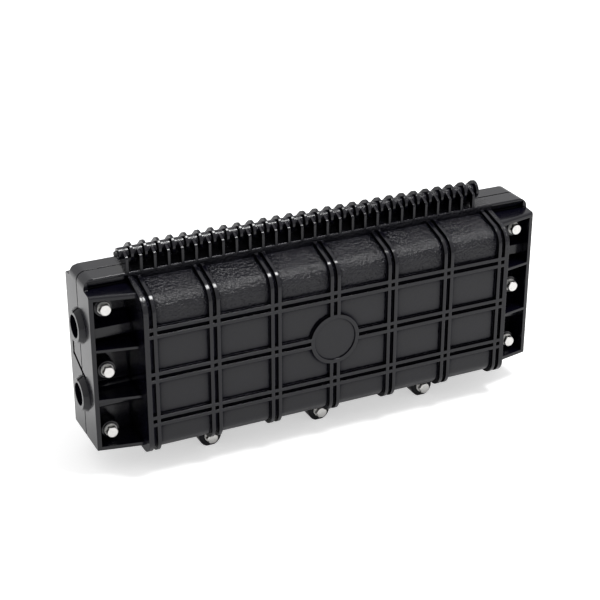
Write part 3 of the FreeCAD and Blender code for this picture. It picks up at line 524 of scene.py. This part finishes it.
def addScrew(bm, place, length, screw):
    x, seat, z = place
    top = Matrix.Translation((x, seat - screw["headHeight"], z))
    top = top @ Matrix.Rotation(math.radians(90), 4, "X")
    toAxis = Matrix.Translation((-x, 0, -z))
    # the cross: a grid without its corners, pushed into the head
    count = screw["crossCells"]
    grid = bmesh.ops.create_grid(bm, x_segments=count, y_segments=count,
                                 size=screw["crossSpan"] / 2, matrix=top)["verts"]
    cells = list(dict.fromkeys(face for vert in grid for face in vert.link_faces))
    arm = screw["crossSpan"] / count / 2

    def isCorner(face):
        middle = face.calc_center_median()
        return min(abs(middle.x - x), abs(middle.z - z)) > arm

    corners = [face for face in cells if isCorner(face)]
    cross = [face for face in cells if face not in corners]
    bmesh.ops.delete(bm, geom=corners, context="FACES")
    sides = dict.fromkeys(edge for face in cross for edge in face.edges)
    rim = [edge for edge in sides if len(edge.link_faces) == 1]
    sunk = pickVerts(bmesh.ops.extrude_face_region(bm, geom=cross)["geom"])
    bmesh.ops.translate(bm, verts=sunk, vec=(0, screw["crossDepth"], 0))
    taper = screw["crossTaper"]
    bmesh.ops.scale(bm, verts=sunk, vec=(taper, 1, taper), space=toAxis)
    # the flat round the cross, then the rounded side, the seat and the shank
    radius, height = screw["headRadius"] - screw["headRound"], screw["headHeight"]
    ring = bmesh.ops.create_circle(bm, segments=screw["segments"], radius=radius,
                                   matrix=top)["verts"]
    loop = list(dict.fromkeys(edge for vert in ring for edge in vert.link_edges))
    bmesh.ops.bridge_loops(bm, edges=rim + loop)
    # the grid's upper faces kept the bridge from twisting, and would now cover the cross
    bmesh.ops.delete(bm, geom=cross, context="FACES")
    stops = []
    for step in range(1, screw["roundSteps"] + 1):
        turn = math.radians(90) * step / screw["roundSteps"]
        stops.append((radius + screw["headRound"] * math.sin(turn),
                      height - screw["headRound"] * (1 - math.cos(turn))))
    stops += [(screw["headRadius"], 0.0), (screw["shankRadius"], 0.0),
              (screw["shankRadius"], -length)]
    for nextRadius, nextHeight in stops:
        grown = bmesh.ops.extrude_edge_only(bm, edges=loop)["geom"]
        ring = pickVerts(grown)
        loop = [item for item in grown
                if isinstance(item, bmesh.types.BMEdge) and set(item.verts) <= set(ring)]
        growth = nextRadius / radius
        bmesh.ops.scale(bm, verts=ring, vec=(growth, 1, growth), space=toAxis)
        bmesh.ops.translate(bm, verts=ring, vec=(0, height - nextHeight, 0))
        radius, height = nextRadius, nextHeight
    bmesh.ops.holes_fill(bm, edges=loop)


def makeScrews(name, node):
    low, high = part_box(node)
    inset = crossScrew["headRadius"]
    seat = low[1] + crossScrew["headHeight"]
    bm = bmesh.new()
    for x in (low[0] + inset, high[0] - inset):
        for z in (low[2] + inset, high[2] - inset):
            addScrew(bm, (x, seat, z), high[1] - seat, crossScrew)
    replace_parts(keepPiece(name, bm, "rear_half", "bolt_steel"), node)


makeThreads()
makeScrews("crossBracketScrews", "bracket_screws")
makeScrews("crossSaddleScrews", "saddle_screws")
print("threads and screw heads ready")


# floor and surroundings: a light tent, brighter overhead, and white to the eye
studio = {
    # the glow value and its two ranges below paint a pool of light on the floor behind the left
    # end, seen in reflections only
    "floorColour": (0.74, 0.74, 0.74), "floorLift": 0.51, "floorShine": 0.08, "paintedLightPool": 0.20,
    "poolAside": (-0.05, -0.32), "poolBehind": (-0.10, 0.15), "floorSize": 8.0,
    "horizon": 0.72, "zenith": 0.92,
}


def rayKinds(tree, place):
    path = addNode(tree, "ShaderNodeLightPath", place)
    either = addNode(tree, "ShaderNodeMath", (place[0] + 200, place[1]), operation="MAXIMUM")
    tree.links.new(path.outputs["Is Camera Ray"], either.inputs[0])
    tree.links.new(path.outputs["Is Transmission Ray"], either.inputs[1])
    return either.outputs[0], path.outputs["Is Glossy Ray"]


def makeFloor():
    material = bpy.data.materials.new("paleFloor")
    material.use_nodes = True
    tree = material.node_tree
    tree.nodes.clear()
    out = addNode(tree, "ShaderNodeOutputMaterial", (900, 0))
    matt = addNode(tree, "ShaderNodeBsdfDiffuse", (450, 150))
    matt.inputs["Color"].default_value = (*studio["floorColour"], 1)
    lift = addNode(tree, "ShaderNodeEmission", (450, -50))
    both = addNode(tree, "ShaderNodeAddShader", (700, 0))
    seen, glossy = rayKinds(tree, (-700, -100))
    shine = addNode(tree, "ShaderNodeMath", (-250, -100), operation="MULTIPLY")
    shine.inputs[1].default_value = studio["floorShine"]
    base = addNode(tree, "ShaderNodeMath", (0, -100), operation="MULTIPLY_ADD")
    base.inputs[1].default_value = studio["floorLift"]
    # painted light: a glowing pool on the floor behind the left end, in reflections only, standing
    # in for a lamp there
    coords = addNode(tree, "ShaderNodeTexCoord", (-900, -400))
    split = addNode(tree, "ShaderNodeSeparateXYZ", (-700, -400))
    aside = addNode(tree, "ShaderNodeMapRange", (-450, -350),
                    interpolation_type="SMOOTHSTEP")
    setInputs(aside, From_Min=studio["poolAside"][0], From_Max=studio["poolAside"][1])
    behind = addNode(tree, "ShaderNodeMapRange", (-450, -600),
                     interpolation_type="SMOOTHSTEP")
    setInputs(behind, From_Min=studio["poolBehind"][0], From_Max=studio["poolBehind"][1])
    corner = addNode(tree, "ShaderNodeMath", (-200, -400), operation="MULTIPLY")
    shown = addNode(tree, "ShaderNodeMath", (0, -350), operation="MULTIPLY")
    total = addNode(tree, "ShaderNodeMath", (230, -150), operation="MULTIPLY_ADD")
    total.inputs[1].default_value = studio["paintedLightPool"]
    tree.links.new(coords.outputs["Object"], split.inputs[0])
    tree.links.new(split.outputs["X"], aside.inputs["Value"])
    tree.links.new(split.outputs["Y"], behind.inputs["Value"])
    tree.links.new(aside.outputs["Result"], corner.inputs[0])
    tree.links.new(behind.outputs["Result"], corner.inputs[1])
    tree.links.new(corner.outputs[0], shown.inputs[0])
    tree.links.new(glossy, shown.inputs[1])
    tree.links.new(glossy, shine.inputs[0])
    tree.links.new(seen, base.inputs[0])
    tree.links.new(shine.outputs[0], base.inputs[2])
    tree.links.new(shown.outputs[0], total.inputs[0])
    tree.links.new(base.outputs[0], total.inputs[2])
    tree.links.new(total.outputs[0], lift.inputs["Strength"])
    tree.links.new(matt.outputs[0], both.inputs[0])
    tree.links.new(lift.outputs[0], both.inputs[1])
    tree.links.new(both.outputs[0], out.inputs["Surface"])
    bpy.ops.mesh.primitive_plane_add(size=studio["floorSize"])
    floor = bpy.context.object
    floor.name = "studioFloor"
    floor.data.materials.append(material)


def makeWorld():
    world = bpy.data.worlds.new("studioSky")
    bpy.context.scene.world = world
    world.use_nodes = True
    tree = world.node_tree
    tree.nodes.clear()
    out = addNode(tree, "ShaderNodeOutputWorld", (900, 0))
    sky = addNode(tree, "ShaderNodeBackground", (650, 0))
    sky.inputs["Color"].default_value = (1, 1, 1, 1)
    coords = addNode(tree, "ShaderNodeTexCoord", (-500, -250))
    split = addNode(tree, "ShaderNodeSeparateXYZ", (-300, -250))
    dome = addNode(tree, "ShaderNodeMapRange", (-50, -250))
    setInputs(dome, To_Min=studio["horizon"], To_Max=studio["zenith"])
    level = addNode(tree, "ShaderNodeMix", (350, 0), data_type="FLOAT")
    level.inputs["B"].default_value = 1.0
    seen, _ = rayKinds(tree, (-500, 0))
    tree.links.new(coords.outputs["Generated"], split.inputs[0])
    tree.links.new(split.outputs["Z"], dome.inputs["Value"])
    tree.links.new(dome.outputs["Result"], level.inputs["A"])
    tree.links.new(seen, level.inputs["Factor"])
    tree.links.new(level.outputs["Result"], sky.inputs["Strength"])
    tree.links.new(sky.outputs[0], out.inputs["Surface"])


keyLamp = {"at": (0.45, -0.35, 1.85), "aim": (0, 0, 0.1), "size": (0.5, 0.7), "power": 28.0}


def makeLamp():
    light = bpy.data.lights.new("keyLamp", "AREA")
    light.shape = "RECTANGLE"
    light.size, light.size_y = keyLamp["size"]
    light.energy = keyLamp["power"]
    holder = bpy.data.objects.new("keyLamp", light)
    holder.location = keyLamp["at"]
    beam = Vector(keyLamp["aim"]) - Vector(keyLamp["at"])
    holder.rotation_euler = beam.to_track_quat("-Z", "Y").to_euler()
    bpy.context.scene.collection.objects.link(holder)


viewpoint = {
    "azimuth": 25.51, "elevation": 25.38, "distance": 1.488, "target": (-0.00963, 0, 0.12199),
    "lens": 92.86, "sensor": 36.0,
}


def makeCamera():
    azimuth = math.radians(viewpoint["azimuth"])
    elevation = math.radians(viewpoint["elevation"])
    target = Vector(viewpoint["target"])
    away = Vector((-math.sin(azimuth) * math.cos(elevation),
                   -math.cos(azimuth) * math.cos(elevation), math.sin(elevation)))
    lens = bpy.data.cameras.new("photoCamera")
    lens.lens = viewpoint["lens"]
    lens.sensor_width = viewpoint["sensor"]
    camera = bpy.data.objects.new("photoCamera", lens)
    camera.location = target + away * viewpoint["distance"]
    camera.rotation_euler = (-away).to_track_quat("-Z", "Y").to_euler()
    bpy.context.scene.collection.objects.link(camera)
    bpy.context.scene.camera = camera


makeFloor()
makeWorld()
makeLamp()
makeCamera()
bpy.context.scene.view_settings.view_transform = "Standard"
print("studio ready")
